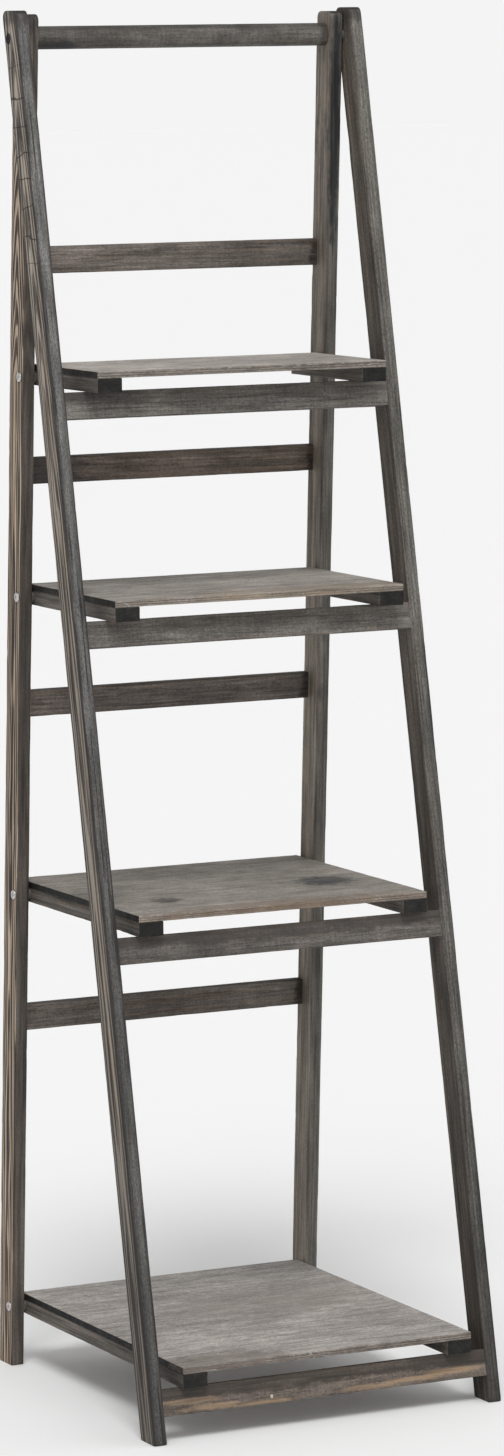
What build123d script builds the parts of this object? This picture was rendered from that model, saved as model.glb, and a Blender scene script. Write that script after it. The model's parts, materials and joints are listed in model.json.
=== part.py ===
from build123d import *
import os
from math import cos, radians, sin, tan

# Folding A-frame ladder shelf, in millimetres.
# X runs across the width, -Y faces the front, +Z is up; the origin is on the floor, midway
# between the front and rear feet. Shelves, rails and bays are numbered from the top down.

# ---- overall sizes -----------------------------------------------------------------------
overall_height = 1500.0        # top of the rear posts
front_post_rise = 4.0          # how far the front posts stand above the rear ones
inner_width = 352.0            # between the rear posts' inner faces
pivot_drop = 26.0              # pivot axis of the A-frame below the rear posts' tops
rear_lean = 3.65               # degrees from upright, top forward
front_lean = 11.45             # degrees from upright, top backward

# ---- posts -------------------------------------------------------------------------------
post_thickness = 15.0          # across the width
post_depth = 34.0
post_edge_radius = 1.2
post_top_radius = 8.0
post_foot_radius = 2.5
frame_gap = 2.5                # from a rear post's outer face to the front post's inner face
pivot_setback = 7.5            # every pivot axis behind the rear posts' front faces

# ---- rails -------------------------------------------------------------------------------
rail_height = 29.0
rail_thickness = 12.0
rail_edge_radius = 0.9
front_rail_recess = 1.0        # front rails' faces behind the front posts' faces
rear_rail_rises = (112.0, 123.5, 197.0, 313.0)   # rail centre above the shelf below it
rail_pin_radius = 3.0
rail_pin_spacing = 13.0
rail_pin_in_post = 9.0
rail_pin_in_rail = 14.0

# ---- top bar -----------------------------------------------------------------------------
bar_radius = 12.5
bar_tenon_radius = 5.5
bar_tenon_length = 11.5

# ---- shelves -----------------------------------------------------------------------------
bottom_shelf_height = 80.8     # top surface above the floor
top_shelf_drop = 351.2         # top shelf's surface below the A-frame's pivot axis
upper_bay_ratio = 0.728        # height of the bay under the top shelf over the next one's
middle_bay_ratio = 0.706       # height of that next bay over the lowest one's
shelf_overhangs = (40.0, 28.0, 10.0, 10.0)       # front edges ahead of the front rails
shelf_tails = (10.0, 10.0, 30.0, 8.0)            # shelf behind its own pivot axis
shelf_side_gap = 3.0           # from a shelf's side to the rear post's inner face
board_thickness = 7.5
board_edge_radius = 0.8
cleat_width = 29.0
cleat_height = 15.5
cleat_edge_radius = 0.7
screw_pitch = 125.0            # longest distance between two board screws
screw_end_distance = 24.0

# ---- fasteners ---------------------------------------------------------------------------
shelf_pin_radius = 2.5
shelf_pin_head_radius = 5.3
shelf_pin_head_height = 1.6
shelf_pin_in_cleat = 22.0
frame_bolt_radius = 3.0
frame_bolt_head_radius = 5.2
frame_bolt_head_height = 3.0
frame_bolt_in_post = 11.5
counterbore_radius = 5.8
counterbore_depth = 4.0
washer_radius = 6.5
drive_width = 1.1
drive_length = 5.4
drive_depth = 0.9
screw_shank_radius = 1.7
screw_head_radius = 3.6
screw_head_height = 2.0
screw_in_board = 5.0

# ---- clearances --------------------------------------------------------------------------
turning_clearance = 0.06       # round a shaft that turns in its hole
snug_clearance = 0.02          # round a pin that is fixed in its hole
seat_gap = 0.1                 # between flat faces that slide on each other
rest_gap = 0.2                 # shelf cleats above the front rails
raised_gap = 1.0               # raised shelf ahead of the rear rails
folded_gap = 1.5               # folded front rails ahead of the raised shelves
bottom_gap = 0.5               # free length at the end of a blind hole

# ---- derived sizes -----------------------------------------------------------------------
rear_inner = inner_width / 2
rear_outer = rear_inner + post_thickness
front_inner = rear_outer + frame_gap
front_outer = front_inner + post_thickness
shelf_stack = board_thickness + cleat_height
pivot_height = overall_height - pivot_drop
# A raised shelf stands between the rear rails and the folded front rails. The pivots of the
# shelves and of the A-frame lie in one plane, pivot_setback behind the rear posts' fronts.
shelf_pivot_drop = post_depth - rail_thickness - raised_gap - pivot_setback
front_pivot_reach = shelf_stack - shelf_pivot_drop + folded_gap
front_pivot_reach += rail_thickness + front_rail_recess
rear_foot = (post_depth - pivot_setback) / cos(radians(rear_lean))
rear_foot += pivot_height * tan(radians(rear_lean))
front_foot = front_pivot_reach / cos(radians(front_lean))
front_foot += pivot_height * tan(radians(front_lean))
pivot_y = (front_foot - rear_foot) / 2
shelf_width = inner_width - 2 * shelf_side_gap
sides = (("left", -1), ("right", 1))


def leaning_plane(lean):
    """Plane through the A-frame's pivot: X across, Y to the rear, Z up along the posts."""
    up = (0, sin(radians(lean)), cos(radians(lean)))
    return Plane(origin=(0, pivot_y, pivot_height), x_dir=(1, 0, 0), z_dir=up)


rear_plane = leaning_plane(-rear_lean)
front_plane = leaning_plane(front_lean)


def along_post(plane, depth, height):
    """Distance along the posts, from the pivot, at which a depth line reaches a height."""
    return (height - plane.origin.Z - depth * plane.y_dir.Z) / plane.z_dir.Z


def world_y(plane, depth, height):
    """World Y of a depth line of a leaning frame at a height."""
    along = along_post(plane, depth, height)
    return plane.origin.Y + depth * plane.y_dir.Y + along * plane.z_dir.Y


def shelf_heights():
    """Top surfaces of the shelves, from the top down, with bays that grow towards the floor."""
    top = pivot_height - top_shelf_drop
    shares = 1 + middle_bay_ratio + middle_bay_ratio * upper_bay_ratio
    third = bottom_shelf_height + (top - bottom_shelf_height) / shares
    second = third + (third - bottom_shelf_height) * middle_bay_ratio
    return (top, second, third, bottom_shelf_height)


shelf_tops = shelf_heights()


def shelf_pivot(number):
    """World Y and Z of a shelf's pivot axis."""
    height = shelf_tops[number] - shelf_pivot_drop
    return world_y(rear_plane, 0, height), height


def front_rail_top(number):
    """Height of the upper front edge of the front rail that carries a shelf."""
    return shelf_tops[number] - shelf_stack - rest_gap


def shelf_front(number):
    """World Y of a shelf's front edge."""
    face = -front_pivot_reach + front_rail_recess
    return world_y(front_plane, face, front_rail_top(number)) - shelf_overhangs[number]


def bar_depth():
    """Depth of the rear post's centre line, behind the pivot axis."""
    return post_depth / 2 - pivot_setback


def x_cylinder(radius, start, end, y, z):
    """Cylinder along X between two X values."""
    length = abs(end - start)
    return Pos((start + end) / 2, y, z) * Rot(0, 90, 0) * Cylinder(radius, length)


def box_between(low, high):
    """Box from its lowest to its highest corner."""
    size = [b - a for a, b in zip(low, high)]
    centre = [(a + b) / 2 for a, b in zip(low, high)]
    return Pos(*centre) * Box(*size)


def eased(shape, axis, radius):
    """Shape with the edges that run along an axis rounded."""
    return fillet(shape.edges().filter_by(axis), radius)


# ---- posts -------------------------------------------------------------------------------
def post_blank(plane, front_reach, top, inner, side):
    """Post with a level foot, a level rounded top and eased edges, without holes."""
    front, back = -front_reach, post_depth - front_reach
    outline = [(depth, along_post(plane, depth, height))
               for depth, height in ((front, 0), (back, 0), (back, top), (front, top))]
    profile = make_face(Polyline(*[(0, y, z) for y, z in outline], close=True))
    feet = profile.vertices().sort_by(Axis.Z)[:2]
    profile = fillet(feet, post_foot_radius)
    tops = profile.vertices().sort_by(Axis.Z)[-2:]
    profile = fillet(tops, post_top_radius)
    blank = extrude(profile, amount=post_thickness, dir=(1, 0, 0))
    side_faces = blank.faces().filter_by(Axis.X)
    blank = fillet(side_faces.edges(), post_edge_radius)
    start = inner if side > 0 else -inner - post_thickness
    return Pos(start, 0, 0) * blank


def pin_heights(centre):
    """Local heights of a rail's two pins."""
    return (centre - rail_pin_spacing / 2, centre + rail_pin_spacing / 2)


def rear_rail_depth():
    """Local depth of the rear rails' centre plane."""
    return post_depth - pivot_setback - rail_thickness / 2


def front_rail_depth():
    """Local depth of the front rails' centre plane."""
    return -front_pivot_reach + front_rail_recess + rail_thickness / 2


def rear_rail_centre(number):
    """Local height of a rear rail's centre."""
    height = shelf_tops[number] + rear_rail_rises[number]
    return along_post(rear_plane, rear_rail_depth(), height)


def front_rail_centre(number):
    """Local height of a front rail's centre."""
    face = -front_pivot_reach + front_rail_recess
    return along_post(front_plane, face, front_rail_top(number)) - rail_height / 2


def rear_post(side):
    post = post_blank(rear_plane, pivot_setback, overall_height, rear_inner, side)
    depth = rail_pin_in_post + bottom_gap
    for number in range(4):
        for height in pin_heights(rear_rail_centre(number)):
            post -= x_cylinder(rail_pin_radius + snug_clearance, side * rear_inner,
                               side * (rear_inner + depth), rear_rail_depth(), height)
        pin_y, pin_z = shelf_pivot(number)
        place = rear_plane.to_local_coords(Vector(0, pin_y, pin_z))
        post -= x_cylinder(shelf_pin_radius + snug_clearance, side * rear_inner,
                           side * rear_outer, place.Y, place.Z)
    post -= x_cylinder(bar_tenon_radius + snug_clearance, side * rear_inner,
                       side * (rear_inner + bar_tenon_length + bottom_gap), bar_depth(), 0)
    post -= x_cylinder(frame_bolt_radius + snug_clearance, side * rear_outer,
                       side * (rear_outer - frame_bolt_in_post - bottom_gap), 0, 0)
    return rear_plane.location * post


def front_post(side):
    top = overall_height + front_post_rise
    post = post_blank(front_plane, front_pivot_reach, top, front_inner, side)
    depth = rail_pin_in_post + bottom_gap
    for number in range(4):
        for height in pin_heights(front_rail_centre(number)):
            post -= x_cylinder(rail_pin_radius + snug_clearance, side * front_inner,
                               side * (front_inner + depth), front_rail_depth(), height)
    post -= x_cylinder(frame_bolt_radius + turning_clearance, side * front_inner,
                       side * front_outer, 0, 0)
    post -= x_cylinder(counterbore_radius, side * (front_outer - counterbore_depth),
                       side * front_outer, 0, 0)
    return front_plane.location * post


# ---- rails, their pins and the top bar ---------------------------------------------------
def rail(plane, half_length, depth, centre):
    """Cross rail with blind holes for two pins in each end."""
    bar = eased(Box(2 * half_length, rail_thickness, rail_height), Axis.X, rail_edge_radius)
    bar = Pos(0, depth, centre) * bar
    for _, side in sides:
        for height in pin_heights(centre):
            bar -= x_cylinder(rail_pin_radius + snug_clearance, side * half_length,
                              side * (half_length - rail_pin_in_rail - bottom_gap), depth, height)
    return plane.location * bar


def rail_pins(plane, half_length, depth, centres):
    """Wooden pins of one frame's rails, two at each rail end."""
    pins = []
    for centre in centres:
        for height in pin_heights(centre):
            for _, side in sides:
                pin = x_cylinder(rail_pin_radius, side * (half_length - rail_pin_in_rail),
                                 side * (half_length + rail_pin_in_post), depth, height)
                pins.append(plane.location * pin)
    return Compound(pins)


def top_bar():
    bar = x_cylinder(bar_radius, -rear_inner, rear_inner, bar_depth(), 0)
    for _, side in sides:
        bar += x_cylinder(bar_tenon_radius, side * (rear_inner - 1),
                          side * (rear_inner + bar_tenon_length), bar_depth(), 0)
    return rear_plane.location * bar


# ---- pivot hardware ----------------------------------------------------------------------
def cross_drive(face_x, side, y, z):
    """Crossed slots in a head whose outer face is at face_x."""
    centre = Pos(face_x - side * drive_depth / 2, y, z)
    upright = centre * Box(drive_depth, drive_width, drive_length)
    level = centre * Box(drive_depth, drive_length, drive_width)
    return upright + level


def shelf_pins(number):
    """Headed steel pins on which a shelf turns, one through each rear post."""
    y, z = shelf_pivot(number)
    pins = []
    for _, side in sides:
        tip = rear_inner - shelf_side_gap - shelf_pin_in_cleat
        head_face = rear_outer + shelf_pin_head_height
        pin = x_cylinder(shelf_pin_radius, side * tip, side * (rear_outer + 0.5), y, z)
        head = x_cylinder(shelf_pin_head_radius, side * rear_outer, side * head_face, y, z)
        rim = head.faces().sort_by(Axis.X)[-1 if side > 0 else 0].edges()
        pin += fillet(rim, 0.7 * shelf_pin_head_height)
        pins.append(pin - cross_drive(side * head_face, side, y, z))
    return Compound(pins)


def shelf_spacers(number):
    """Washers that keep a shelf clear of the rear posts."""
    y, z = shelf_pivot(number)
    washers = []
    for _, side in sides:
        outer, inner = rear_inner, rear_inner - shelf_side_gap + seat_gap
        washer = x_cylinder(washer_radius, side * inner, side * outer, y, z)
        washer -= x_cylinder(shelf_pin_radius + snug_clearance, side * inner, side * outer, y, z)
        washers.append(washer)
    return Compound(washers)


def frame_bolts():
    """Bolts of the A-frame's pivot, with heads sunk in the front posts."""
    bolts = []
    for _, side in sides:
        seat = front_outer - counterbore_depth + seat_gap
        face = seat + frame_bolt_head_height
        tip = rear_outer - frame_bolt_in_post
        bolt = x_cylinder(frame_bolt_radius, side * tip, side * (seat + 0.5), pivot_y, pivot_height)
        bolt += x_cylinder(frame_bolt_head_radius, side * seat, side * face, pivot_y, pivot_height)
        bolts.append(bolt - cross_drive(side * face, side, pivot_y, pivot_height))
    return Compound(bolts)


def frame_washers():
    """Washers between the front and rear posts at the A-frame's pivot."""
    washers = []
    for _, side in sides:
        inner, outer = rear_outer, front_inner - seat_gap
        washer = x_cylinder(washer_radius, side * inner, side * outer, pivot_y, pivot_height)
        washer -= x_cylinder(frame_bolt_radius + snug_clearance, side * inner, side * outer,
                             pivot_y, pivot_height)
        washers.append(washer)
    return Compound(washers)


# ---- shelves -----------------------------------------------------------------------------
def shelf_span(number):
    """World Y of a shelf's front and rear edges."""
    return shelf_front(number), shelf_pivot(number)[0] + shelf_tails[number]


def screw_places(number):
    """World X and Y of a shelf's board screws, evenly spaced along each cleat."""
    front, back = shelf_span(number)
    first = front + screw_end_distance
    last = back - shelf_tails[number] - screw_end_distance / 2
    intervals = int((last - first) // screw_pitch) + 1
    lines = [first + step * (last - first) / intervals for step in range(intervals + 1)]
    middle = shelf_width / 2 - cleat_width / 2
    return [(side * middle, y) for _, side in sides for y in lines]


def board_screw(x, y, base, play):
    """Countersunk screw driven up through a cleat into the board; play widens it to a hole."""
    length = cleat_height + screw_in_board + play
    shank = Pos(x, y, base + length / 2) * Cylinder(screw_shank_radius + play, length)
    head = Pos(x, y, base + screw_head_height / 2)
    head *= Cone(screw_head_radius + play, screw_shank_radius + play, screw_head_height)
    return shank + head


def pivot_bore(number, side):
    """Blind hole in which a shelf turns on its pivot pin."""
    y, z = shelf_pivot(number)
    outer = shelf_width / 2
    return x_cylinder(shelf_pin_radius + turning_clearance, side * outer,
                      side * (outer - shelf_pin_in_cleat - bottom_gap), y, z)


def shelf_board(number):
    """Board on two cleats, bored for the pivot pins where they reach up into it."""
    front, back = shelf_span(number)
    top = shelf_tops[number]
    half = shelf_width / 2
    board = box_between((-half, front, top - board_thickness), (half, back, top))
    board = fillet(board.edges(), board_edge_radius)
    for x, y in screw_places(number):
        board -= board_screw(x, y, top - shelf_stack, snug_clearance)
    for _, side in sides:
        board -= pivot_bore(number, side)
    return board


def shelf_cleat(number, side):
    """Batten under one side of a shelf, bored for the pivot pin."""
    front, back = shelf_span(number)
    base = shelf_tops[number] - shelf_stack
    outer = shelf_width / 2
    low_x, high_x = sorted((side * outer, side * (outer - cleat_width)))
    cleat = box_between((low_x, front, base), (high_x, back, base + cleat_height))
    cleat = fillet(cleat.edges().filter_by(Axis.Z, reverse=True), cleat_edge_radius)
    cleat -= pivot_bore(number, side)
    for x, screw_y in screw_places(number):
        if x * side > 0:
            cleat -= board_screw(x, screw_y, base, snug_clearance)
    return cleat


def shelf_screws(number):
    base = shelf_tops[number] - shelf_stack
    return Compound([board_screw(x, y, base, 0) for x, y in screw_places(number)])


# ---- assembly ----------------------------------------------------------------------------
def all_parts():
    """Every piece of the shelf by node name."""
    rear_centres = [rear_rail_centre(number) for number in range(4)]
    front_centres = [front_rail_centre(number) for number in range(4)]
    parts = {"top_bar": top_bar(), "frame_pivot_bolts": frame_bolts(),
             "frame_pivot_washers": frame_washers(),
             "rear_rail_pins": rail_pins(rear_plane, rear_inner, rear_rail_depth(), rear_centres),
             "front_rail_pins": rail_pins(front_plane, front_inner, front_rail_depth(), front_centres)}
    for name, side in sides:
        parts[f"rear_post_{name}"] = rear_post(side)
        parts[f"front_post_{name}"] = front_post(side)
    for number in range(4):
        label = number + 1
        parts[f"rear_rail_{label}"] = rail(rear_plane, rear_inner, rear_rail_depth(), rear_centres[number])
        parts[f"front_rail_{label}"] = rail(front_plane, front_inner, front_rail_depth(),
                                            front_centres[number])
        parts[f"shelf_{label}_board"] = shelf_board(number)
        for name, side in sides:
            parts[f"shelf_{label}_cleat_{name}"] = shelf_cleat(number, side)
        parts[f"shelf_{label}_screws"] = shelf_screws(number)
        parts[f"shelf_{label}_pivot_pins"] = shelf_pins(number)
        parts[f"shelf_{label}_spacers"] = shelf_spacers(number)
    return parts


os.makedirs("parts", exist_ok=True)
for node, shape in all_parts().items():
    export_step(shape, f"parts/{node}.step")
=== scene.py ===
"""Looks of a folding ladder shelf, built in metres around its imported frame.

X runs across the width, -Y faces the front and +Z is up. Every wooden piece but the rails' pins is
a lofted bar or board with planed faces, worn arrises and small chips, inside the frame's own piece.
The pins and the steel keep the frame's own shapes. Shelves and rails are numbered from the top down.
"""
import json
import math

import bpy
import numpy as np
from mathutils import Matrix, Vector, noise


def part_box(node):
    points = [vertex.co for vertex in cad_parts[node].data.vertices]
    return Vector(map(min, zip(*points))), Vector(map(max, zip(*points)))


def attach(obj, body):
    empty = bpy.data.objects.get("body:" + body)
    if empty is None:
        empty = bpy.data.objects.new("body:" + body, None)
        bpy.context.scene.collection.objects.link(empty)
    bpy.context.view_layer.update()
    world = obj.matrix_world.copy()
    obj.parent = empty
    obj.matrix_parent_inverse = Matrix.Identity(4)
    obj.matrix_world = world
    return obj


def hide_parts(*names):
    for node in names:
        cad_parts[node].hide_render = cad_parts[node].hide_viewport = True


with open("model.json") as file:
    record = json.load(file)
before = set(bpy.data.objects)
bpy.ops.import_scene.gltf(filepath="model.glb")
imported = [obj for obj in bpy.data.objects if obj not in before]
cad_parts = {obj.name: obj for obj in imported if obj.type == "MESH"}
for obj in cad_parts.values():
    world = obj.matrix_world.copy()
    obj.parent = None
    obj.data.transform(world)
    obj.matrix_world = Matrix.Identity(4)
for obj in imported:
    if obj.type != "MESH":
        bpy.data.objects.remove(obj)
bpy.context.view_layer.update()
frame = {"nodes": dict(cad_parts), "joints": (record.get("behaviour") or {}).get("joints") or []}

# ---- sizes that the frame's boxes don't give, in metres --------------------------------------
MM = 0.001
REAR_LEAN = math.radians(-3.65)     # top forward
FRONT_LEAN = math.radians(11.45)    # top backward
POST_DEPTH = 34 * MM
REAR_SETBACK = 7.5 * MM             # pivot axes behind the rear posts' front faces
FRONT_REACH = 24 * MM               # front posts' front faces ahead of the pivot axis
POST_EDGE = 1.2 * MM
TOP_ROUND = 8 * MM
FOOT_ROUND = 2.5 * MM
RAIL_DEPTH = 12 * MM
RAIL_HEIGHT = 29 * MM
RAIL_EDGE = 0.9 * MM
BOARD_EDGE = 0.8 * MM
CLEAT_EDGE = 0.7 * MM
BAR_RADIUS = 12.5 * MM
BOLT_RADIUS = 3.06 * MM
COUNTERBORE_RADIUS = 5.8 * MM
COUNTERBORE_DEPTH = 4 * MM
SCREW_HEAD_RADIUS = 3.9 * MM
SCREW_SINK = 2.2 * MM
TENON = 0.6 * MM                    # how far a rail's end runs into the worn face of a post
END_EDGE = 0.2 * MM                 # rounding of the rails' and the bar's ends

# ---- wear ------------------------------------------------------------------------------------
PITCH = 6 * MM                      # distance between rings along a piece
BOARD_PITCH = 7 * MM                # distance between points across a board
SHAVE = 0.14 * MM                   # most that a planed face lies inside its true plane
CHIP = 2.6 * MM                     # growth of an arris's radius where it is chipped
DENT = 0.35 * MM
ARC_STEPS = 3                       # faces round an arris
END_STEPS = 4                       # faces round an end
TOP_STEPS = 8                       # faces round a post's top
ROUND_SEGMENTS = 40                 # faces round a bore or the bar
SHARP = math.radians(40)            # edges that turn more than this stay sharp

joints = {joint["name"]: Vector(joint["pos_m"]) for joint in frame["joints"]}
pivot = joints["front_frame_fold"]
sides = (("left", -1), ("right", 1))
SHELVES = range(1, 5)               # from the top down, as are the rails


def tone(red, green, blue):
    """Linear colour, with alpha, from screen values of 0 to 255."""
    return tuple((c / 255) ** 2.2 for c in (red, green, blue)) + (1.0,)


def ripple(*place):
    """Smooth noise of about -0.6 to 0.6."""
    return noise.noise(Vector(place))


# ---- meshes ----------------------------------------------------------------------------------
def side_cuts(length, pitch):
    """Shares of a side at which it has points, and how near each is to an arris."""
    if length < 8 * MM:
        return ((0.2, 0.35), (0.5, 0.1), (0.8, 0.35))
    near = ((1.2 * MM, 0.45), (3 * MM, 0.12))
    margin = 4 * MM
    count = max(2, round(length / pitch))
    shares = [n / count for n in range(1, count)]
    inner = [(share, 0.0) for share in shares if margin < length * share < length - margin]
    starts = [(d / length, weight) for d, weight in near]
    ends = [(1 - share, weight) for share, weight in reversed(starts)]
    return tuple(starts + inner + ends)


def ring(low, high, radii, cuts):
    """Points of a rounded rectangle, anticlockwise, and how near each is to an arris."""
    corners = ((high[0], high[1], 1, 1), (low[0], high[1], -1, 1),
               (low[0], low[1], -1, -1), (high[0], low[1], 1, -1))
    arcs = []
    for number, (a, b, side_a, side_b) in enumerate(corners):
        radius = radii[number]
        turns = [math.pi / 2 * (number + step / ARC_STEPS) for step in range(ARC_STEPS + 1)]
        arcs.append([(a - side_a * radius + radius * math.cos(turn),
                      b - side_b * radius + radius * math.sin(turn)) for turn in turns])
    points, arris = [], []
    for number, arc in enumerate(arcs):
        points += arc
        arris += [1.0] * len(arc)
        (a, b), (next_a, next_b) = arc[-1], arcs[(number + 1) % 4][0]
        for share, weight in cuts[number % 2]:
            points.append((a + share * (next_a - a), b + share * (next_b - b)))
            arris.append(weight)
    return points, arris


def worn(low, high, radius, along, seed):
    """Section of a bar, narrowed a little and with uneven arrises, at a place along it."""
    shaves = [SHAVE * max(0.0, 0.5 + ripple(along * 8, seed, side * 7.3)) for side in range(4)]
    radii = []
    for corner in range(4):
        swell = max(0.0, ripple(along * 21, seed + 40, corner * 3.1))
        chip = max(0.0, ripple(along * 63, seed + 80, corner * 5.7) - 0.3)
        radii.append(radius * (1 + 1.2 * swell) + CHIP * chip)
    low = (low[0] + shaves[0], low[1] + shaves[1])
    high = (high[0] - shaves[2], high[1] - shaves[3])
    room = 0.45 * min(high[0] - low[0], high[1] - low[1])
    return low, high, [min(value, room) for value in radii]


def drawn_in(from_end, radius):
    """How far a rounded end draws a section in, at a distance from the end."""
    if from_end >= radius:
        return 0.0
    return radius - math.sqrt(radius ** 2 - (radius - from_end) ** 2)


def eased(radius, steps):
    """Distances from a rounded end at which its arc has points."""
    return [radius * (1 - math.cos(math.pi / 2 * step / steps)) for step in range(steps + 1)]


def stations(start, end, rounded):
    """Places of the rings along a piece, close together over its rounded ends."""
    count = max(2, round((end - start) / PITCH))
    inner = [start + (end - start) * n / count for n in range(1, count)]
    fine = eased(rounded, END_STEPS)
    inner = [s for s in inner if start + 1.5 * rounded < s < end - 1.5 * rounded]
    return [start + f for f in fine] + inner + [end - f for f in reversed(fine)]


def cap(points):
    """Ring inside the last one, which holds the flat end, clear of its arris."""
    middle = np.mean(points, axis=0)
    inner = [tuple(middle + 0.8 * (np.array(point) - middle)) for point in points]
    return inner, [0.0] * len(points)


def loft(name, rings, seed):
    """Mesh piece through rings of points, with a flat cap at each end and dents in its skin."""
    rings = [cap(rings[0][0])] + rings + [cap(rings[-1][0])]
    count = len(rings[0][0])
    vertices = [point for points, _ in rings for point in points]
    faces = [tuple(reversed(range(count))),
             tuple(range(len(vertices) - count, len(vertices)))]
    for row in range(len(rings) - 1):
        for n in range(count):
            a, b = row * count + n, row * count + (n + 1) % count
            faces.append((a, b, b + count, a + count))
    mesh = bpy.data.meshes.new(name)
    mesh.from_pydata(vertices, [], faces)
    arris = mesh.attributes.new("arris", "FLOAT", "POINT")
    arris.data.foreach_set("value", [weight for _, weights in rings for weight in weights])
    piece = bpy.data.objects.new(name, mesh)
    bpy.context.scene.collection.objects.link(piece)
    mesh.polygons.foreach_set("use_smooth", [True] * len(mesh.polygons))
    face_out(mesh)
    for vertex, normal in zip(mesh.vertices, [v.normal.copy() for v in mesh.vertices]):
        place = vertex.co * 55
        depth = max(0.0, ripple(place.x + seed, place.y, place.z * 0.7) - 0.28)
        vertex.co -= normal * DENT * depth
    mesh.set_sharp_from_angle(angle=SHARP)
    return piece


def face_out(mesh):
    """Turns a closed mesh's faces outward, if its volume says that they face in."""
    mesh.calc_loop_triangles()
    co = np.array([v.co for v in mesh.vertices])
    tri = np.array([t.vertices for t in mesh.loop_triangles])
    a, b, c = co[tri[:, 0]], co[tri[:, 1]], co[tri[:, 2]]
    if np.einsum("ij,ij->i", a, np.cross(b, c)).sum() < 0:
        mesh.flip_normals()
    mesh.update()


def cylinder(radius, start, end, y, z, end_radius=None):
    """Closed round cutter between two X values, which may narrow or widen towards its end."""
    count = ROUND_SEGMENTS
    end_radius = radius if end_radius is None else end_radius
    points = []
    for along, size in ((start, radius), (end, end_radius)):
        for n in range(count):
            turn = 2 * math.pi * n / count
            points.append((along, y + size * math.cos(turn), z + size * math.sin(turn)))
    faces = [tuple(range(count)), tuple(reversed(range(count, 2 * count)))]
    for n in range(count):
        m = (n + 1) % count
        faces.append((n, n + count, m + count, m))
    mesh = bpy.data.meshes.new("cutter")
    mesh.from_pydata(points, [], faces)
    face_out(mesh)
    cutter = bpy.data.objects.new("cutter", mesh)
    bpy.context.scene.collection.objects.link(cutter)
    return cutter


def cut(piece, cutters):
    """Takes the cutters out of a piece for good."""
    for cutter in cutters:
        modifier = piece.modifiers.new("bore", "BOOLEAN")
        modifier.operation = "DIFFERENCE"
        modifier.solver = "EXACT"
        modifier.object = cutter
    bpy.context.view_layer.update()
    evaluated = piece.evaluated_get(bpy.context.evaluated_depsgraph_get())
    mesh = bpy.data.meshes.new_from_object(evaluated)
    piece.modifiers.clear()
    piece.data = mesh
    mesh.set_sharp_from_angle(angle=SHARP)
    for cutter in cutters:
        bpy.data.objects.remove(cutter)


# ---- posts -----------------------------------------------------------------------------------
def post_line(depth, height, lean):
    """World Y, at a height, of a line along the posts that lies behind the pivot by a depth."""
    return pivot.y + depth / math.cos(lean) + (height - pivot.z) * math.tan(lean)


def post_face(depth, way, height, lean, top):
    """World Y of a post's front (-1) or back (1) face, rounded at the foot and the top."""
    for radius, centre, end in ((TOP_ROUND, top - TOP_ROUND, 1), (FOOT_ROUND, FOOT_ROUND, -1)):
        tangent = centre - way * radius * math.sin(lean)
        if (height - tangent) * end > 0:
            reach = math.sqrt(max(0.0, radius ** 2 - (height - centre) ** 2))
            return post_line(depth - way * radius, centre, lean) + way * reach
    return post_line(depth, height, lean)


def post_heights(top):
    """Heights of a post's rings, close together over its foot and its rounded top."""
    count = round(top / PITCH)
    inner = [top * n / count for n in range(1, count)]
    foot = eased(FOOT_ROUND, END_STEPS)
    head = eased(TOP_ROUND, TOP_STEPS)
    inner = [z for z in inner if 1.6 * FOOT_ROUND < z < top - 1.2 * TOP_ROUND]
    return foot + inner + [top - step for step in reversed(head)]


def post(node, lean, reach, seed):
    """Post with level ends, in slices that are level too."""
    low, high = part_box(node)
    top = high.z
    cuts = (side_cuts(high.x - low.x - 2 * POST_EDGE, PITCH),
            side_cuts(POST_DEPTH - 2 * POST_EDGE, PITCH))
    rings = []
    for height in post_heights(top):
        inset = drawn_in(min(height, top - height), POST_EDGE)
        front = post_face(-reach, -1, height, lean, top)
        back = post_face(POST_DEPTH - reach, 1, height, lean, top)
        section = worn((low.x + inset, front), (high.x - inset, back), POST_EDGE, height, seed)
        points, arris = ring(*section, cuts)
        rings.append(([(x, y, height) for x, y in points], arris))
    return loft(node.replace("post", "upright"), rings, seed)


def front_post(node, side, seed):
    """Front post with the counterbore and the bore of its pivot bolt."""
    piece = post(node, FRONT_LEAN, FRONT_REACH, seed)
    low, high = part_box(node)
    outer = high.x if side > 0 else low.x
    inner = low.x if side > 0 else high.x
    seat = outer - side * COUNTERBORE_DEPTH
    cutters = [cylinder(COUNTERBORE_RADIUS, seat, outer + side * MM, pivot.y, pivot.z),
               cylinder(BOLT_RADIUS, inner - side * MM, outer, pivot.y, pivot.z)]
    cut(piece, cutters)
    return piece


# ---- rails and the top bar -------------------------------------------------------------------
def leaning(lean, depth, height):
    """World Y and Z of a point given in a leaning frame, from the pivot."""
    return (pivot.y + depth * math.cos(lean) + height * math.sin(lean),
            pivot.z - depth * math.sin(lean) + height * math.cos(lean))


def rail(node, lean, seed):
    """Rail between two posts, square to them, with eased long edges."""
    low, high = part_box(node)
    middle = (low + high) / 2
    across, up = middle.y - pivot.y, middle.z - pivot.z
    depth = across * math.cos(lean) - up * math.sin(lean)
    height = across * math.sin(lean) + up * math.cos(lean)
    cuts = (side_cuts(RAIL_DEPTH - 2 * RAIL_EDGE, PITCH),
            side_cuts(RAIL_HEIGHT - 2 * RAIL_EDGE, PITCH))
    rings = []
    for x in stations(low.x - TENON, high.x + TENON, END_EDGE):
        section = worn((depth - RAIL_DEPTH / 2, height - RAIL_HEIGHT / 2),
                       (depth + RAIL_DEPTH / 2, height + RAIL_HEIGHT / 2), RAIL_EDGE, x, seed)
        points, arris = ring(*section, cuts)
        rings.append(([(x, *leaning(lean, a, b)) for a, b in points], arris))
    return loft(node.replace("rail", "slat"), rings, seed)


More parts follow.
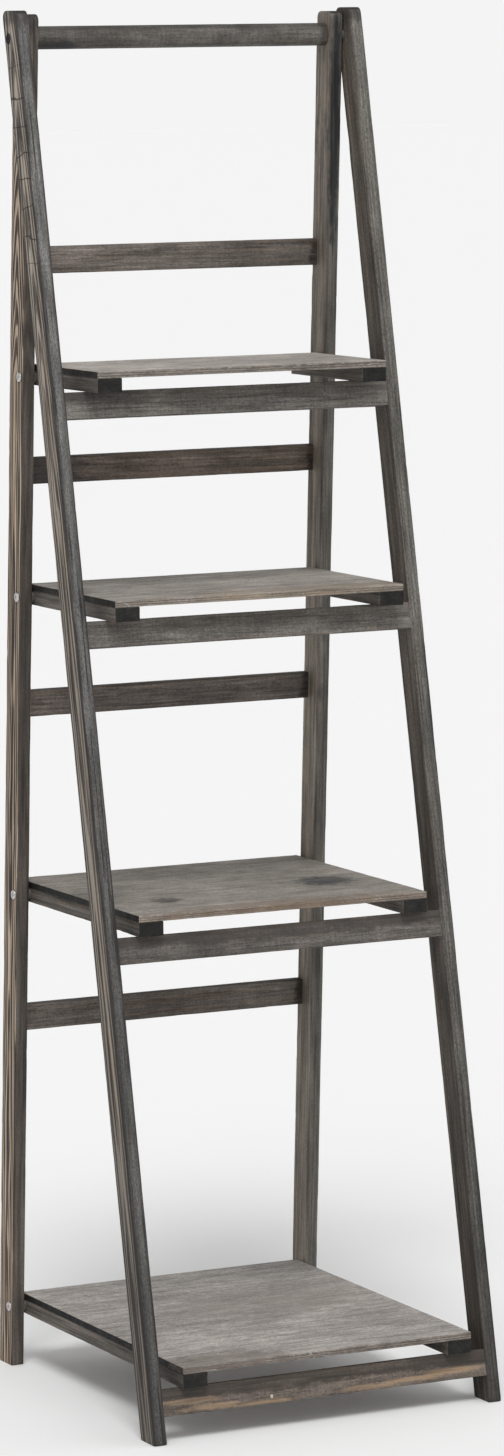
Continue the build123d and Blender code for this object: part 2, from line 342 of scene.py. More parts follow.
def top_bar(seed):
    """Turned bar between the rear posts, a little out of round."""
    low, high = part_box("top_bar")
    middle = (low + high) / 2
    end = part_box("rear_post_right")[0].x + TENON
    rings = []
    for x in stations(-end, end, END_EDGE):
        points = []
        for n in range(ROUND_SEGMENTS):
            turn = 2 * math.pi * n / ROUND_SEGMENTS
            across, up = math.cos(turn), math.sin(turn)
            radius = BAR_RADIUS - SHAVE * (0.6 + ripple(x * 9, across, up + seed))
            points.append((x, middle.y + radius * across, middle.z + radius * up))
        rings.append((points, [0.0] * ROUND_SEGMENTS))
    return loft("hanging_bar", rings, seed)


# ---- shelves ---------------------------------------------------------------------------------
def board(number, seed):
    """Shelf board with eased edges all round."""
    low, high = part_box(f"shelf_{number}_board")
    cuts = (side_cuts(high.y - low.y - 2 * BOARD_EDGE, BOARD_PITCH),
            side_cuts(high.z - low.z - 2 * BOARD_EDGE, PITCH))
    rings = []
    for x in stations(low.x, high.x, BOARD_EDGE):
        inset = drawn_in(min(x - low.x, high.x - x), BOARD_EDGE)
        section = worn((low.y + inset, low.z + inset), (high.y - inset, high.z - inset),
                       BOARD_EDGE, x, seed)
        points, arris = ring(*section, cuts)
        if inset > 0:
            arris = [1.0] * len(arris)
        rings.append(([(x, y, z) for y, z in points], arris))
    return loft(f"shelf_{number}_panel", rings, seed)


def screw_centres(number, side):
    """Centres of the screw heads under one side of a shelf."""
    node = frame["nodes"][f"shelf_{number}_screws"]
    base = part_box(f"shelf_{number}_screws")[0].z
    low = [v.co for v in node.data.vertices if v.co.z < base + 0.1 * MM and v.co.x * side > 0]
    rows = {}
    for co in low:
        near = [y for y in rows if abs(y - co.y) < 3 * SCREW_HEAD_RADIUS]
        rows.setdefault(near[0] if near else co.y, []).append(co)
    return [((min(c.x for c in row) + max(c.x for c in row)) / 2,
             (min(c.y for c in row) + max(c.y for c in row)) / 2, base) for row in rows.values()]


def cleat(number, name, side, seed):
    """Batten under one side of a shelf, with countersunk screw holes in its underside."""
    node = f"shelf_{number}_cleat_{name}"
    low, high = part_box(node)
    cuts = (side_cuts(high.x - low.x - 2 * CLEAT_EDGE, PITCH),
            side_cuts(high.z - low.z - 2 * CLEAT_EDGE, PITCH))
    rings = []
    for y in stations(low.y, high.y, CLEAT_EDGE):
        inset = drawn_in(min(y - low.y, high.y - y), CLEAT_EDGE)
        section = worn((low.x + inset, low.z + inset), (high.x - inset, high.z - inset),
                       CLEAT_EDGE, y, seed)
        points, arris = ring(*section, cuts)
        if inset > 0:
            arris = [1.0] * len(arris)
        rings.append(([(x, y, z) for x, z in points], arris))
    piece = loft(node.replace("cleat", "batten"), rings, seed)
    cutters = []
    for x, y, base in screw_centres(number, side):
        sink = cylinder(SCREW_HEAD_RADIUS, -0.5 * MM, SCREW_SINK, 0, 0, 0.5 * SCREW_HEAD_RADIUS)
        upright = Matrix.Rotation(-math.pi / 2, 4, "Y")
        sink.data.transform(Matrix.Translation((x, y, base)) @ upright)
        cutters.append(sink)
    cut(piece, cutters)
    return piece


# ---- materials -------------------------------------------------------------------------------
COLOUR_MIX_INPUTS = (0, 6, 7)       # the mix node's sockets for the share and the two colours
COLOUR_MIX_OUTPUT = 2
WAVE_RATE = 20                      # radians per unit of a wave texture, at a scale of 1


class Graph:
    """Short ways to add nodes to a material. Values may be numbers or other nodes' outputs."""

    def __init__(self, name):
        self.material = bpy.data.materials.new(name)
        self.material.use_nodes = True
        self.nodes = self.material.node_tree.nodes
        self.links = self.material.node_tree.links
        self.shader = self.nodes["Principled BSDF"]

    def add(self, kind, inputs, output=0, **settings):
        """One output of a new node with these inputs and settings."""
        node = self.nodes.new("ShaderNode" + kind)
        for key, value in settings.items():
            setattr(node, key, value)
        for key, value in inputs.items():
            if isinstance(value, bpy.types.NodeSocket):
                self.links.new(value, node.inputs[key])
            else:
                node.inputs[key].default_value = value
        return node.outputs[output]

    def math(self, operation, first, second=0.0):
        return self.add("Math", {0: first, 1: second}, operation=operation)

    def times(self, first, *others):
        """Product of all the values."""
        for other in others:
            first = self.math("MULTIPLY", first, other)
        return first

    def mix(self, share, first, second, blend="MIX"):
        """First colour with a share of the second one over it."""
        inputs = dict(zip(COLOUR_MIX_INPUTS, (share, first, second)))
        return self.add("Mix", inputs, COLOUR_MIX_OUTPUT, data_type="RGBA", blend_type=blend)

    def remap(self, value, low, high, to_low=0.0, to_high=1.0, smooth=False):
        """Value drawn from one range to another, and held at its ends."""
        kind = "SMOOTHSTEP" if smooth else "LINEAR"
        inputs = {"Value": value, "From Min": low, "From Max": high,
                  "To Min": to_low, "To Max": to_high}
        return self.add("MapRange", inputs, interpolation_type=kind)

    def noise(self, vector, scale, detail=3.0, roughness=0.55, distortion=0.0):
        return self.add("TexNoise", {"Vector": vector, "Scale": scale, "Detail": detail,
                                     "Roughness": roughness, "Distortion": distortion})

    def split(self, vector):
        """X, Y and Z of a vector."""
        node = self.nodes.new("ShaderNodeSeparateXYZ")
        self.links.new(vector, node.inputs[0])
        return node.outputs

    def vary(self, shade, pattern, amount):
        """Shade made darker and lighter by a pattern of 0 to 1."""
        swing = self.remap(pattern, 0.0, 1.0, 1 - amount, 1 + amount)
        return swing if shade is None else self.math("MULTIPLY", shade, swing)

    def mapping(self, vector, location=(0, 0, 0), rotation=(0, 0, 0), scale=(1, 1, 1)):
        return self.add("Mapping", {"Vector": vector, "Location": location,
                                    "Rotation": rotation, "Scale": scale})


GRAIN_TURNS = {"x": (0, -math.pi / 2, 0), "y": (math.pi / 2, 0, 0),
               "rear": (REAR_LEAN, 0, 0), "front": (FRONT_LEAN, 0, 0)}
TAN = tone(170, 144, 118)
# Dark brown, for the deepest rings and the plies' seams, and for the painted shadow beside the wavy
# lines.
UMBER_AND_SHADE = tone(52, 45, 40)
# Near black, for open pores, checks and the dark stripe, and for the painted shade in and round
# holes.
SOOT_AND_SHADE = tone(34, 32, 31)
CRACK_GAP = 30 * MM
HOLE_SHADE_RIM = 0.7 * MM                 # how far the painted shade reaches round a hole
GRAIN_RELIEF = 0.4 * MM
SCRATCH_RELIEF = 0.05 * MM
TARNISH = 0.25                      # share of the brightness that steel loses in its spots


def rings_per(gap):
    """Scale of a wave texture whose rings or bands are a gap apart."""
    return 2 * math.pi / (WAVE_RATE * gap)


def wood(name, seed, grain, tones, years=0.15, fibres=0.25, mottle=0.3, speckle=0.2, hatch=0.0,
         ring_gap=4.5, swirl=8.0, heart=(0.05, 0.0), taper=0.01, taper_from=-1.0,
         flame=0.0, flame_tone=TAN, bare=0.15, bare_tone=TAN, fade=None,
         scuff=0.15, scuff_tone=TAN, cover=0.5, edge=None, cracks=None, patches=(), plies=None,
         ripples=0.0, ripple_highlight_tone=TAN, stretch=1.0, lines=0.5, bores=()):
    """Stained, weathered softwood with its grain along X, Y or a leaning frame's posts.

    tones are the colours of faces across X, Y and Z, mostly their stain. years, fibres, mottle,
    speckle and hatch say how much the year rings, the fibres, the blotches, the pores and the saw
    marks vary them.
    The rings are ring_gap millimetres apart round the heart (x, y in the grain's frame), so that
    they cut each face as in sawn wood. swirl is how far they wander, and taper how fast they
    narrow along the grain from taper_from on, which draws nested arches.
    flame is how pale and how dark the rings are on faces across X, bare how much stain has rubbed
    off in streaks, and fade is (factor on the colour at the floor, height where the factor reaches
    1), which darkens or lightens the piece towards the bottom.
    scuff is how worn the arrises look, and cover how little of them is worn. edge is the (place
    across the grain, width) of a dark stripe on faces across X. plies are the heights between
    which edges across Y show three layers, and cracks those between which the grain is checked
    across. ripples is how clear the wavy lines are, which are painted as pale highlights with a
    painted shadow beside them, stretch how much shorter the figure is along the grain, and lines
    how dark the open pores are. bores are the (centre, radius) of holes along X, which get
    painted shade in and round them, and patches are (centre, size, tone, strength).
    """
    graph = Graph(name)
    place = graph.add("TexCoord", {}, 3)
    facing = graph.add("VectorMath", {0: graph.add("TexCoord", {}, 1)}, operation="ABSOLUTE")
    across_x, across_y, across_z = (graph.remap(axis, 0.55, 0.8) for axis in graph.split(facing))
    end_face = {"x": across_x, "y": across_y}.get(grain, across_z)
    side_face = graph.math("SUBTRACT", 1.0, end_face)
    level = graph.split(place)[2]
    grain_place = graph.mapping(place, rotation=GRAIN_TURNS[grain])
    shift = (seed * 0.37 % 3, seed * 0.61 % 3, seed * 0.23 % 3)
    long = graph.mapping(grain_place, location=shift, scale=(1, 1, 0.035 * stretch))
    longer = graph.mapping(grain_place, location=shift[::-1], scale=(1, 1, 0.012 * stretch))
    short = graph.mapping(grain_place, location=shift, scale=(1, 1, min(1.0, 0.25 * stretch)))

    # Year rings, fibres and blotches, each from 0 to 1.
    grain_x, grain_y, along = graph.split(grain_place)
    narrowing = taper * 2 * math.pi / (ring_gap * MM)
    phase = graph.times(graph.math("MAXIMUM", along, taper_from), narrowing)
    tree = graph.add("CombineXYZ", {0: grain_x, 1: grain_y, 2: graph.times(along, 0.07)})
    tree = graph.mapping(tree, location=(-heart[0], -heart[1], 0))
    waves = {"Vector": tree, "Scale": rings_per(ring_gap * MM), "Distortion": swirl, "Detail": 2.0,
             "Detail Scale": 0.8, "Detail Roughness": 0.5,
             "Phase Offset": graph.math("ADD", phase, seed * 1.7)}
    rings = graph.add("TexWave", waves, 1, wave_type="RINGS", rings_direction="Z",
                      wave_profile="SIN")
    fine = graph.remap(graph.noise(long, 420, 5, 0.7), 0.3, 0.7)
    broad = graph.remap(graph.noise(long, 110, 3, 0.6), 0.32, 0.68)
    cloud = graph.remap(graph.noise(short, 48, 6, 0.68), 0.32, 0.68)
    drift = graph.remap(graph.noise(short, 9, 3, 0.6), 0.35, 0.65)
    short_cells = graph.mapping(grain_place, location=shift, scale=(1, 1, 0.4))
    specks = graph.remap(graph.noise(short_cells, 800, 3, 0.7), 0.35, 0.65)

    # The stain and how much they vary it.
    shade = None
    for pattern, amount in ((rings, years), (fine, fibres), (broad, fibres * 0.8), (cloud, mottle),
                            (drift, mottle * 0.7), (specks, speckle)):
        shade = graph.vary(shade, pattern, amount)
    if hatch:
        flat_cells = graph.mapping(grain_place, location=shift, scale=(0.07, 0.07, 1))
        marks = graph.noise(flat_cells, 520, 3, 0.6)
        shade = graph.vary(shade, graph.remap(marks, 0.35, 0.65), hatch)
    if fade:
        faded = graph.remap(level, 0.0, fade[1], fade[0], 1.0)
        shade = graph.times(shade, faded)
    colour = graph.mix(across_z, graph.mix(across_y, tones[0], tones[1]), tones[2])
    grey = graph.add("CombineXYZ", {0: shade, 1: shade, 2: shade})
    colour = graph.mix(1.0, colour, grey, "MULTIPLY")

    # Rings that stand out, and streaks where the stain has rubbed off.
    if flame:
        pale = graph.remap(rings, 0.5, 0.9, 0, 1, True)
        pale = graph.times(pale, graph.remap(broad, 0.0, 0.6, 0.6, 1.0), across_x, flame)
        if fade:
            pale = graph.times(pale, faded)
        colour = graph.mix(pale, colour, flame_tone)
        deep = graph.remap(rings, 0.28, 0.05, 0, 1, True)
        colour = graph.mix(graph.times(deep, across_x, flame), colour, UMBER_AND_SHADE)
    rubbed = graph.remap(graph.noise(longer, 150, 4, 0.65), 0.53, 0.68, 0, 1, True)
    rubbed = graph.times(rubbed, side_face, graph.remap(fine, 0.2, 0.8))
    if grain in ("front", "rear"):
        rubbed = graph.times(rubbed, graph.remap(across_x, 0.0, 1.0, 0.15, 1.0))
    colour = graph.mix(graph.times(rubbed, bare), colour, bare_tone)

    # Wavy lines painted as pale highlights with a painted shadow beside them, the layers in an edge,
    # and a dark stripe.
    if ripples:
        wide_cells = graph.mapping(grain_place, location=shift, scale=(1, 1, 0.16))
        contour = graph.math("PINGPONG", graph.noise(wide_cells, 42, 3, 0.5, 0.7), 0.03)
        broken = graph.times(side_face, graph.remap(cloud, 0.25, 0.75))
        shadow = graph.times(graph.remap(contour, 0.014, 0.008, 0, 0.6 * ripples), broken)
        colour = graph.mix(shadow, colour, UMBER_AND_SHADE)
        ripple_highlight = graph.times(graph.remap(contour, 0.005, 0.0, 0, ripples), broken)
        colour = graph.mix(ripple_highlight, colour, ripple_highlight_tone)
    if plies:
        depth = graph.remap(level, plies[0], plies[1], 0.0, 3.0)
        depth = graph.math("ADD", depth, graph.remap(cloud, 0, 1, -0.12, 0.12))
        seams = graph.remap(graph.math("PINGPONG", depth, 0.5), 0.2, 0.08, 0, 0.8, True)
        seams = graph.times(seams, across_y, graph.remap(fine, 0, 0.6, 0.4, 1))
        colour = graph.mix(seams, colour, UMBER_AND_SHADE)
    if edge:
        stripe, width = edge
        off = graph.math("ABSOLUTE", graph.math("SUBTRACT", grain_y, stripe))
        uneven = graph.remap(graph.noise(short, 60, 4, 0.6), 0.3, 0.7, -width, width)
        off = graph.math("ADD", off, uneven)
        dark = graph.remap(off, 1.6 * width, 0.6 * width, 0, 0.75, True)
        colour = graph.mix(graph.times(dark, across_x), colour, SOOT_AND_SHADE)

    # Patches with ragged rims.
    for centre, size, patch_tone, strength in patches:
        scale = tuple(1 / s for s in size)
        location = tuple(-c * k for c, k in zip(centre, scale))
        near = graph.mapping(place, location=location, scale=scale)
        distance = graph.add("VectorMath", {0: near}, 1, operation="LENGTH")
        uneven = graph.remap(graph.noise(short, 90, 6, 0.75), 0.3, 0.7, -0.4, 0.4)
        near = graph.remap(graph.math("ADD", distance, uneven), 0.45, 1.0, strength, 0.0, True)
        near = graph.times(near, graph.remap(broad, 0.1, 0.6, 0.4, 1.0))
        colour = graph.mix(near, colour, patch_tone)

    # Open pores and cracks, which are cut into the skin too.
    thin = graph.mapping(grain_place, location=shift[::-1], scale=(1, 1, 0.022 * stretch))
    open_pores = graph.remap(graph.noise(thin, 330, 4, 0.6), 0.46, 0.36, 0, 1, True)
    open_pores = graph.times(open_pores, side_face, lines)
    colour = graph.mix(open_pores, colour, SOOT_AND_SHADE)
    height = graph.math("ADD", graph.times(rings, 0.35), graph.times(fine, 0.65))
    if cracks:
        lowest, highest = cracks
        tilted = graph.mapping(grain_place, location=shift, rotation=(-0.1, 0, 0),
                               scale=(0.4, 0.4, 1))
        bands = {"Vector": tilted, "Scale": rings_per(CRACK_GAP), "Distortion": 3.5,
                 "Detail": 4.0, "Detail Scale": 1.6, "Detail Roughness": 0.6}
        checks = graph.add("TexWave", bands, 1, bands_direction="Z")
        checks = graph.times(graph.remap(checks, 0.011, 0.0, 0, 1), across_x,
                             graph.remap(level, lowest, lowest + 0.05),
                             graph.remap(level, highest, highest - 0.03))
        colour = graph.mix(graph.times(checks, 0.85), colour, SOOT_AND_SHADE)
        height = graph.math("SUBTRACT", height, checks)
    height = graph.math("SUBTRACT", height, open_pores)

    # Worn arrises, and painted shade in and round the holes.
    arris = graph.add("Attribute", {}, 2, attribute_name="arris")
    worn_off = graph.remap(graph.noise(long, 300, 5, 0.7), cover, cover + 0.16)
    kept = graph.remap(side_face, 0.0, 1.0, 0.1, 1.0)
    colour = graph.mix(graph.times(arris, worn_off, kept, scuff), colour, scuff_tone)
    for centre, radius in bores:
        flat = graph.mapping(place, location=(0, -centre[1], -centre[2]), scale=(0, 1, 1))
        reach = graph.add("VectorMath", {0: flat}, 1, operation="LENGTH")
        hole_shade = graph.remap(reach, radius, radius + HOLE_SHADE_RIM, 0.95, 0.0)
        colour = graph.mix(hole_shade, colour, SOOT_AND_SHADE)

    graph.links.new(colour, graph.shader.inputs["Base Color"])
    pores = graph.noise(graph.mapping(grain_place, scale=(1, 1, 0.06)), 1500, 2, 0.6)
    height = graph.math("ADD", height, graph.times(pores, 0.4))
    bump = graph.add("Bump", {"Height": height, "Strength": 0.6, "Distance": GRAIN_RELIEF})
    graph.links.new(bump, graph.shader.inputs["Normal"])
    graph.links.new(graph.remap(broad, 0, 1, 0.8, 0.6), graph.shader.inputs["Roughness"])
    graph.shader.inputs["Specular IOR Level"].default_value = 0.3
    return graph.material


def steel(name, colour, roughness):
    """Plated steel, brushed and a little tarnished."""
    graph = Graph(name)
    place = graph.add("TexCoord", {}, 3)
    tarnish = graph.remap(graph.noise(place, 260, 5, 0.65), 0.35, 0.7)
    scratches = graph.noise(graph.mapping(place, scale=(1, 1, 0.08)), 2600, 3, 0.6)
    dark = tuple(c * (1 - TARNISH) for c in colour[:3]) + (1.0,)
    graph.links.new(graph.mix(tarnish, colour, dark), graph.shader.inputs["Base Color"])
    graph.links.new(graph.remap(tarnish, 0, 1, roughness, min(1.0, roughness + 0.25)),
                    graph.shader.inputs["Roughness"])
    bump = graph.add("Bump", {"Height": scratches, "Strength": 0.25, "Distance": SCRATCH_RELIEF})
    graph.links.new(bump, graph.shader.inputs["Normal"])
    graph.shader.inputs["Metallic"].default_value = 1.0
    return graph.material


# ---- stain of each piece ---------------------------------------------------------------------
END_GRAIN = tone(52, 49, 46)
# Blue-black of painted shade.
SHADE_BLUE_BLACK = tone(42, 43, 46)
RUST = tone(154, 130, 105)


def finish_with(piece, material, body, slot, *nodes):
    """Gives a built piece its material and body, and hides the frame's nodes that it stands for.
    slot is not used.
    """
    piece.data.materials.clear()
    piece.data.materials.append(material)
    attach(piece, body)
    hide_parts(*nodes)


def patch(centre, size, colour, strength):
    """Patch of another tone, from its centre in metres and its half sizes in millimetres."""
    return tuple(centre), tuple(s * MM for s in size), colour, strength


def crown(node, strength):
    """Patch that darkens the top of a post."""
    low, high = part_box(node)
    return patch(((low.x + high.x) / 2, pivot.y, high.z), (100, 300, 20), tone(54, 51, 49),
                 strength)


def rear_front(height):
    """Point on the front face of the right rear post at a height."""
    low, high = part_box("rear_post_right")
    return ((low.x + high.x) / 2, post_line(-REAR_SETBACK, height, REAR_LEAN), height)


def face_line(lean, depth):
    """Place across the grain, in the leaning grain's frame, of a line behind the pivot."""
    return pivot.y * math.cos(lean) - pivot.z * math.sin(lean) + depth


def heart_near(node, aside, behind):
    """Heart of a post's rings, given in millimetres from the middle of its section."""
    low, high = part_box(node)
    front = node.startswith("front")
    lean, reach = (FRONT_LEAN, FRONT_REACH) if front else (REAR_LEAN, REAR_SETBACK)
    across = face_line(lean, POST_DEPTH / 2 - reach)
    return ((low.x + high.x) / 2 + aside * MM, across + behind * MM)


def pin_holes():
    """Centre and radius of the shelves' pins in the rear posts."""
    holes = []
    for number in SHELVES:
        low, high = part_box(f"shelf_{number}_pivot_pins")
        holes.append(((low + high) / 2, (high.z - low.z) / 2))
    return holes


def post_looks():
    """What the wood of each post differs in."""
    block = (8, 10, 13)
    # The bolt's hole and the pins' holes get painted shade in and round them.
    bolt_hole = [(pivot, COUNTERBORE_RADIUS)]
    front_left = dict(
        tones=(tone(99, 92, 86), tone(110, 109, 107), END_GRAIN), fibres=0.3, mottle=0.25,
        speckle=0.45, fade=(0.42, 1.35), bare=0.6, bare_tone=tone(180, 160, 138),
        cracks=(1.2, 1.46), years=0.2, swirl=9, heart=heart_near("front_post_left", 0, 0.39),
        taper=0.05, taper_from=0.95, ring_gap=4.5, flame=0.75, flame_tone=tone(180, 170, 158),
        edge=(face_line(FRONT_LEAN, -FRONT_REACH), 2.6 * MM), lines=0.8, scuff=0.85,
        scuff_tone=tone(50, 47, 45), cover=0.33, bores=bolt_hole,
        patches=[crown("front_post_left", 0.75)])
    front_right = dict(
        tones=(tone(95, 88, 81), tone(105, 102, 97), END_GRAIN), fibres=0.3, mottle=0.35,
        speckle=0.45, fade=(0.3, 1.35), bare=0.3, heart=heart_near("front_post_right", -51, -9.61),
        lines=0.65, scuff=0.3, scuff_tone=tone(52, 49, 46), bores=bolt_hole,
        patches=[crown("front_post_right", 0.7)])
    rear_left = dict(
        tones=(tone(82, 70, 61), tone(85, 79, 74), END_GRAIN), fibres=0.3, mottle=0.25,
        years=0.25, flame=1.0, flame_tone=tone(184, 167, 148), bare=0.6, swirl=9,
        bare_tone=tone(184, 148, 112), ring_gap=3.6, heart=heart_near("rear_post_left", -0.5, -0.36),
        lines=0.55, taper=0.08, taper_from=1.1, bores=pin_holes(),
        patches=[crown("rear_post_left", 0.6)])
    rear_right = dict(
        tones=(tone(116, 108, 99), tone(97, 94, 89), END_GRAIN), fibres=0.35, mottle=0.3,
        fade=(1.45, 1.3), heart=heart_near("rear_post_right", -23.5, -4.36), lines=0.5,
        bores=pin_holes(),
        # Painted shade on the upper front face, in the corner behind the front right post.
        patches=[patch(rear_front(1.39), (9, 100, 170), SHADE_BLUE_BLACK, 0.95),
                 patch(rear_front(1.16), (9, 30, 30), tone(66, 62, 60), 0.6),
                 patch(rear_front(0.79), block, tone(136, 132, 128), 0.7),
                 patch(rear_front(0.74), block, tone(62, 62, 64), 0.7),
                 patch(rear_front(0.4), block, tone(98, 94, 90), 0.6)])
    return {"front_post_left": front_left, "front_post_right": front_right,
            "rear_post_left": rear_left, "rear_post_right": rear_right}


def build_posts():
    for number, (node, look) in enumerate(post_looks().items()):
        seed = 11 + 7 * number
        front = node.startswith("front")
        side = 1 if node.endswith("right") else -1
        piece = front_post(node, side, seed) if front else post(node, REAR_LEAN, REAR_SETBACK, seed)
        material = wood(f"stain_{node}", seed, "front" if front else "rear", **look)
        finish_with(piece, material, "front_frame" if front else "rear_frame", "post_wood", node)


def overhang_shade_band(node, strength):
    """Patch of painted shade on the upper half of a front rail's front face, below the shelf's
    overhang.
    """
    low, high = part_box(node)
    middle = (low + high) / 2
    return patch((0.0, middle.y, high.z - 5 * MM), (1000, 100, 13), tone(62, 57, 53), strength)


def front_rail_patches(number, shade_strength):
    """Painted shade on the upper half of a front rail, with its rust marks or its dark end."""
    node = f"front_rail_{number}"
    low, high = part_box(node)
    patches = [overhang_shade_band(node, shade_strength)]
    if number == 4:
        for x, rise in ((-165, 15), (-140, 7), (-80, 3), (50, 6), (100, 9), (150, 12)):
            stroke = (x * MM, low.y, low.z + rise * MM)
            patches.append(patch(stroke, (50, 50, 4), RUST, 0.8))
        speck = (-66 * MM, low.y, low.z + 9.6 * MM)
        patches.append(patch(speck, (2, 50, 2), tone(214, 204, 190), 1.0))
    if number == 1:
        patches.append(patch((low.x, low.y, high.z), (150, 100, 12), tone(50, 48, 47), 0.7))
    return patches


def rear_rail_patches(number):
    """Dark right end of a rear rail, and the dark left end of the second one."""
    low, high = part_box(f"rear_rail_{number}")
    patches = [patch((high.x, low.y, low.z), (11, 100, 100), tone(44, 37, 34), 0.85)]
    if number == 2:
        patches.append(patch((low.x, low.y, low.z), (95, 100, 100), tone(54, 54, 56), 0.8))
    return patches


def build_rails():
    fronts = (tone(116, 113, 108), tone(110, 106, 101), tone(100, 95, 91), tone(108, 99, 91))
    rears = (tone(98, 92, 87), tone(110, 100, 92), tone(103, 96, 91), tone(96, 90, 85))
    # How strong the painted shade below each shelf's overhang is on its front rail.
    bands = (0.5, 0.4, 0.75, 0.9)
    for number, front_tone, rear_tone, shade_strength in zip(SHELVES, fronts, rears, bands):
        seed = 50 + 3 * number
        node = f"front_rail_{number}"
        tones = (END_GRAIN, front_tone, tone(88, 84, 80))
        # The ripples paint pale highlights and dark shadows along wavy lines on the front rails.
        material = wood(f"stain_{node}", seed, "x", tones, years=0.05, fibres=0.28, mottle=0.35,
                        speckle=0.35, hatch=0.12, patches=front_rail_patches(number, shade_strength),
                        ripples=0.35, ripple_highlight_tone=tone(136, 130, 122), lines=0.35, stretch=1.6,
                        swirl=14)
        finish_with(rail(node, FRONT_LEAN, seed), material, "front_frame", "rail_wood", node)
        node = f"rear_rail_{number}"
        tones = (END_GRAIN, rear_tone, tone(86, 82, 78))
        material = wood(f"stain_{node}", seed + 1, "x", tones, years=0.1, fibres=0.32,
                        mottle=0.35, speckle=0.3, hatch=0.08, bare=0.35,
                        bare_tone=tone(134, 106, 84), patches=rear_rail_patches(number),
                        lines=0.4, stretch=1.4)
        finish_with(rail(node, REAR_LEAN, seed + 1), material, "rear_frame", "rail_wood", node)


def build_bar():
    seed = 90
    low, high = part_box("top_bar")
    # left marks a blue-black band of painted shade low on the bar near its left end.
    left = (low.x + 35 * MM, low.y, low.z + 4 * MM)
    right = (high.x - 12 * MM, low.y, low.z)
    material = wood("stain_top_bar", seed, "x", (END_GRAIN, tone(92, 88, 84), tone(84, 81, 77)),
                    years=0.03, fibres=0.2, mottle=0.3, speckle=0.3, hatch=0.15, lines=0.25,
                    stretch=2, patches=[patch(left, (35, 100, 9), SHADE_BLUE_BLACK, 0.8),
                                        patch(right, (12, 100, 100), tone(52, 46, 42), 0.7)])
    finish_with(top_bar(seed), material, "rear_frame", "bar_wood", "top_bar")


def board_patch(number, x, behind, half_width, half_depth, colour, strength):
    """Patch on a board's top, in millimetres from its middle and behind its front edge."""
    low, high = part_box(f"shelf_{number}_board")
    return patch((x * MM, low.y + behind * MM, high.z), (half_width, half_depth, 50), colour,
                 strength)


def build_shelves():
    # The tops are lighter than the fronts, partly in the wood's own colour and partly as painted
    # light from above.
    tops = (tone(170, 163, 156), tone(151, 145, 138), tone(140, 134, 126), tone(165, 159, 154))
    fronts = (tone(122, 115, 107), tone(137, 129, 120), tone(127, 116, 106), tone(121, 113, 106))
    # The ends are dark end grain, made darker on each lower shelf as painted shade against the light
    # the floor throws on them.
    ends = (tone(42, 40, 38), tone(36, 34, 32), tone(26, 25, 24), tone(18, 17, 17))
    marks = {2: [board_patch(2, 50, 14.9, 200, 30, tone(150, 132, 112), 0.5)],
             3: [board_patch(3, 112, 124.1, 42, 45, tone(52, 53, 57), 0.9),
                 board_patch(3, -100, 84.1, 22, 24, tone(60, 57, 54), 0.9),
                 board_patch(3, 0, 4.1, 170, 30, tone(120, 102, 86), 0.6)],
             4: [board_patch(4, -120, 19.1, 100, 35, tone(112, 102, 94), 0.6),
                 board_patch(4, 50, 239.1, 200, 90, tone(134, 128, 120), 0.5)]}
    cleat_tones = (tone(91, 86, 81), tone(35, 34, 33), tone(72, 68, 64))
    for number, tones in zip(SHELVES, zip(ends, fronts, tops)):
        seed = 100 + 5 * number
        body = f"shelf_{number}"
        low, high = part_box(f"{body}_board")
        # The ripples paint pale highlights and dark shadows along wavy lines on the boards.
        material = wood(f"stain_{body}", seed, "x", tones, years=0.06, fibres=0.2, mottle=0.26,
                        speckle=0.35, heart=(0.5, 0.1), ring_gap=7, bare=0.24, stretch=3,
                        bare_tone=tone(196, 190, 182), ripples=0.65,
                        ripple_highlight_tone=tone(206, 201, 194), plies=(high.z, low.z), lines=0.28,
                        scuff=0.3, scuff_tone=tone(190, 182, 172), patches=marks.get(number, ()))
        finish_with(board(number, seed), material, body, "board_wood", f"{body}_board")
        material = wood(f"stain_cleats_{number}", seed + 2, "y", cleat_tones, bare=0.45,
                        bare_tone=tone(134, 118, 102), fibres=0.35, mottle=0.35, lines=0.5)
        for name, side in sides:
            piece = cleat(number, name, side, seed + side)
            finish_with(piece, material, body, "cleat_wood", f"{body}_cleat_{name}")


def finish_hardware():
    """Materials of the steel and the pins, which keep the frame's own shapes."""
    bright = steel("bright_steel", (0.30, 0.29, 0.28, 1.0), 0.42)
    pins = steel("pin_steel", (0.62, 0.61, 0.60, 1.0), 0.34)
    dark = steel("dark_steel", (0.05, 0.05, 0.052, 1.0), 0.5)
    dowel = wood("stain_pins", 7, "x", (END_GRAIN, END_GRAIN, END_GRAIN))
    looks = {"frame_pivot_bolts": dark, "frame_pivot_washers": bright,
             "front_rail_pins": dowel, "rear_rail_pins": dowel}
    for number in SHELVES:
        looks[f"shelf_{number}_pivot_pins"] = pins
        looks[f"shelf_{number}_spacers"] = bright
        looks[f"shelf_{number}_screws"] = bright
    for node, material in looks.items():
        for slot in frame["nodes"][node].material_slots:
            slot.material = material


# ---- studio ----------------------------------------------------------------------------------
CAMERA_PLACE = Vector((-2.74542, -5.59624, 1.50553))
CAMERA_YAW = math.radians(-26.3328)
CAMERA_PITCH = math.radians(7.1236)     # down
CAMERA_ROLL = math.radians(-0.5962)
CAMERA_LENS = 142.70
SENSOR = 36.0
CAMERA_REACH = 200.0
FLOOR_HALF = 60.0


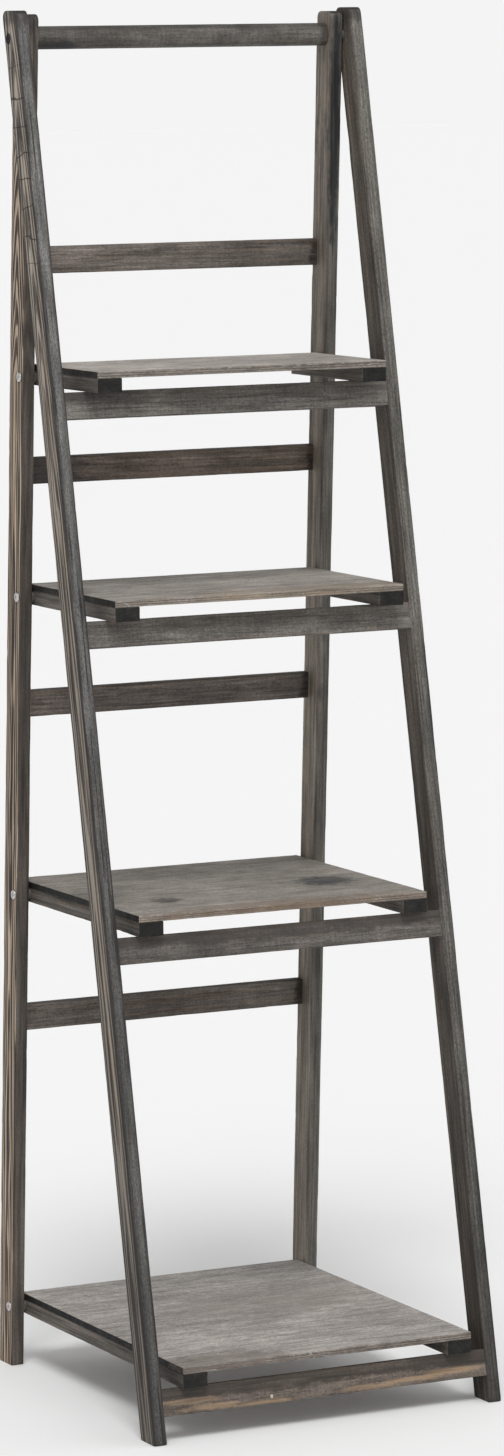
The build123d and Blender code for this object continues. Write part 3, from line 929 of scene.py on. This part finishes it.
def make_camera():
    """Camera at the photograph's angle."""
    forward = Vector((-math.sin(CAMERA_YAW) * math.cos(CAMERA_PITCH),
                      math.cos(CAMERA_YAW) * math.cos(CAMERA_PITCH), -math.sin(CAMERA_PITCH)))
    level = Vector((math.cos(CAMERA_YAW), math.sin(CAMERA_YAW), 0))
    upright = level.cross(forward)
    right = level * math.cos(CAMERA_ROLL) + upright * math.sin(CAMERA_ROLL)
    up = upright * math.cos(CAMERA_ROLL) - level * math.sin(CAMERA_ROLL)
    data = bpy.data.cameras.new("camera")
    data.lens = CAMERA_LENS
    data.sensor_width = SENSOR
    data.clip_end = CAMERA_REACH
    camera = bpy.data.objects.new("camera", data)
    turn = Matrix((right, up, -forward)).transposed()
    camera.matrix_world = Matrix.Translation(CAMERA_PLACE) @ turn.to_4x4()
    bpy.context.scene.collection.objects.link(camera)
    bpy.context.scene.camera = camera


def sun(name, direction, strength, angle):
    """Wide, even light that shines from a direction."""
    data = bpy.data.lights.new(name, "SUN")
    data.energy = strength
    data.angle = math.radians(angle)
    light = bpy.data.objects.new(name, data)
    light.rotation_euler = Vector(direction).to_track_quat("Z", "Y").to_euler()
    bpy.context.scene.collection.objects.link(light)


def make_sky():
    """White sky that is brightest at the horizon and softer overhead."""
    world = bpy.data.worlds.new("studio")
    bpy.context.scene.world = world
    world.use_nodes = True
    nodes, links = world.node_tree.nodes, world.node_tree.links
    split = nodes.new("ShaderNodeSeparateXYZ")
    links.new(nodes.new("ShaderNodeTexCoord").outputs["Generated"], split.inputs[0])
    glow = nodes.new("ShaderNodeMapRange")
    for key, value in (("From Min", 0.04), ("From Max", 0.3), ("To Min", 0.905), ("To Max", 0.5)):
        glow.inputs[key].default_value = value
    links.new(split.outputs[2], glow.inputs["Value"])
    links.new(glow.outputs[0], nodes["Background"].inputs["Strength"])
    nodes["Background"].inputs["Color"].default_value = (1.0, 1.0, 1.0, 1.0)


def make_floor():
    """Plain pale floor, which is not part of the visual model."""
    corners = ((-1, -1), (1, -1), (1, 1), (-1, 1))
    mesh = bpy.data.meshes.new("floor")
    mesh.from_pydata([(x * FLOOR_HALF, y * FLOOR_HALF, 0) for x, y in corners], [], [(0, 1, 2, 3)])
    floor = bpy.data.objects.new("floor", mesh)
    bpy.context.scene.collection.objects.link(floor)
    graph = Graph("floor_paint")
    grains = graph.noise(graph.add("TexCoord", {}, 3), 400, 2)
    paint = graph.mix(grains, (0.95, 0.95, 0.95, 1), (0.97, 0.97, 0.97, 1))
    graph.links.new(paint, graph.shader.inputs["Base Color"])
    graph.shader.inputs["Roughness"].default_value = 0.9
    graph.shader.inputs["Specular IOR Level"].default_value = 0.1
    mesh.materials.append(graph.material)


def make_studio():
    """Soft light from above and the front, a pale sky and a floor."""
    sun("key", (-0.32, -0.62, 1.05), 1.5, 22)
    sun("fill", (0.9, -0.5, 0.5), 0.35, 60)
    make_sky()
    make_floor()
    bpy.context.scene.view_settings.view_transform = "Standard"


build_posts()
build_rails()
build_bar()
build_shelves()
finish_hardware()
make_camera()
make_studio()
